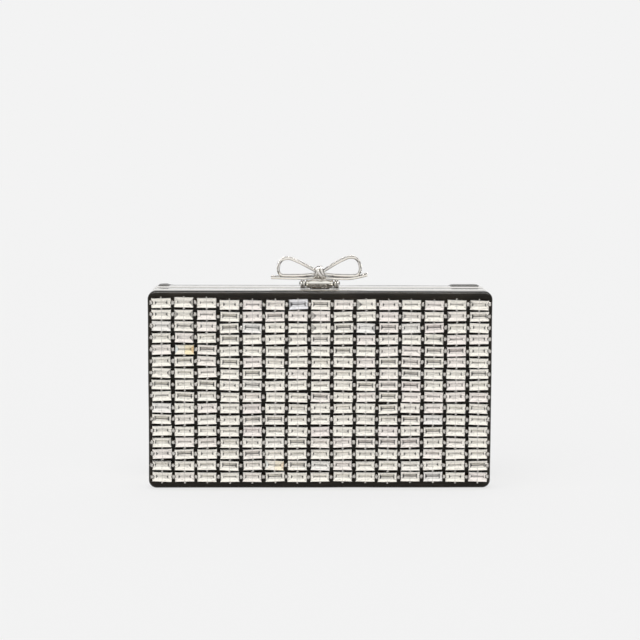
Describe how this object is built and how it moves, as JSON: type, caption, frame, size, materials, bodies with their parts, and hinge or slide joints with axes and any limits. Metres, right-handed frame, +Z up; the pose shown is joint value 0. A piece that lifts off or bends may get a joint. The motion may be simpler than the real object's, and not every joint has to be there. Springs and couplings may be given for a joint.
{
  "type": "clutch bag",
  "caption": "Rigid box clutch with two hinged half shells, cut crystals over the front panel and a sprung bow clasp on top.",
  "frame": {"origin": "under the middle of the bag, on the surface it stands on", "axes": "+Z up, +X along the width, the jewelled front faces -Y"},
  "size_m": [0.18, 0.047, 0.121],
  "materials": {
    "panel_satin": "black satin stretched over a stiff board",
    "polished_metal": "nickel plated brass, polished",
    "steel": "bright steel",
    "crystal": "cut crystal with a silvered back, in silver settings",
    "pave_metal": "silver coloured metal set with small stones",
    "lining": "black lining satin over thin board"
  },
  "bodies": {
    "back_half": {"back_panel": "panel_satin", "back_frame": "polished_metal", "back_lining": "lining", "hinge_back_leaf": "steel", "hinge_pin": "steel", "clasp_bracket": "polished_metal", "clasp_pin": "steel", "clasp_spring": "steel"},
    "front_half": {"front_panel": "panel_satin", "front_frame": "polished_metal", "front_lining": "lining", "hinge_front_leaf": "steel", "strike_plate": "steel", "stone_column_01": "crystal", "stone_column_02": "crystal", "stone_column_03": "crystal", "stone_column_04": "crystal", "stone_column_05": "crystal", "stone_column_06": "crystal", "stone_column_07": "crystal", "stone_column_08": "crystal", "stone_column_09": "crystal", "stone_column_10": "crystal", "stone_column_11": "crystal", "stone_column_12": "crystal", "stone_column_13": "crystal", "stone_column_14": "crystal", "stone_column_15": "crystal"},
    "bow_lever": {"clasp_lever": "polished_metal", "bow_loop_left": "pave_metal", "bow_loop_right": "pave_metal", "bow_tails": "pave_metal", "bow_knot": "pave_metal"}
  },
  "joints": [
    {"name": "lid_hinge", "type": "hinge", "parent": "back_half", "child": "front_half", "pos_m": [0, 0.0014, 0.0018], "axis": [1, 0, 0], "range_deg": [0, 90]},
    {"name": "clasp_turn", "type": "hinge", "parent": "back_half", "child": "bow_lever", "pos_m": [0, 0.0049, 0.106], "axis": [-1, 0, 0], "range_deg": [0, 30], "stiffness_Nm_per_rad": 0.02}
  ]
}
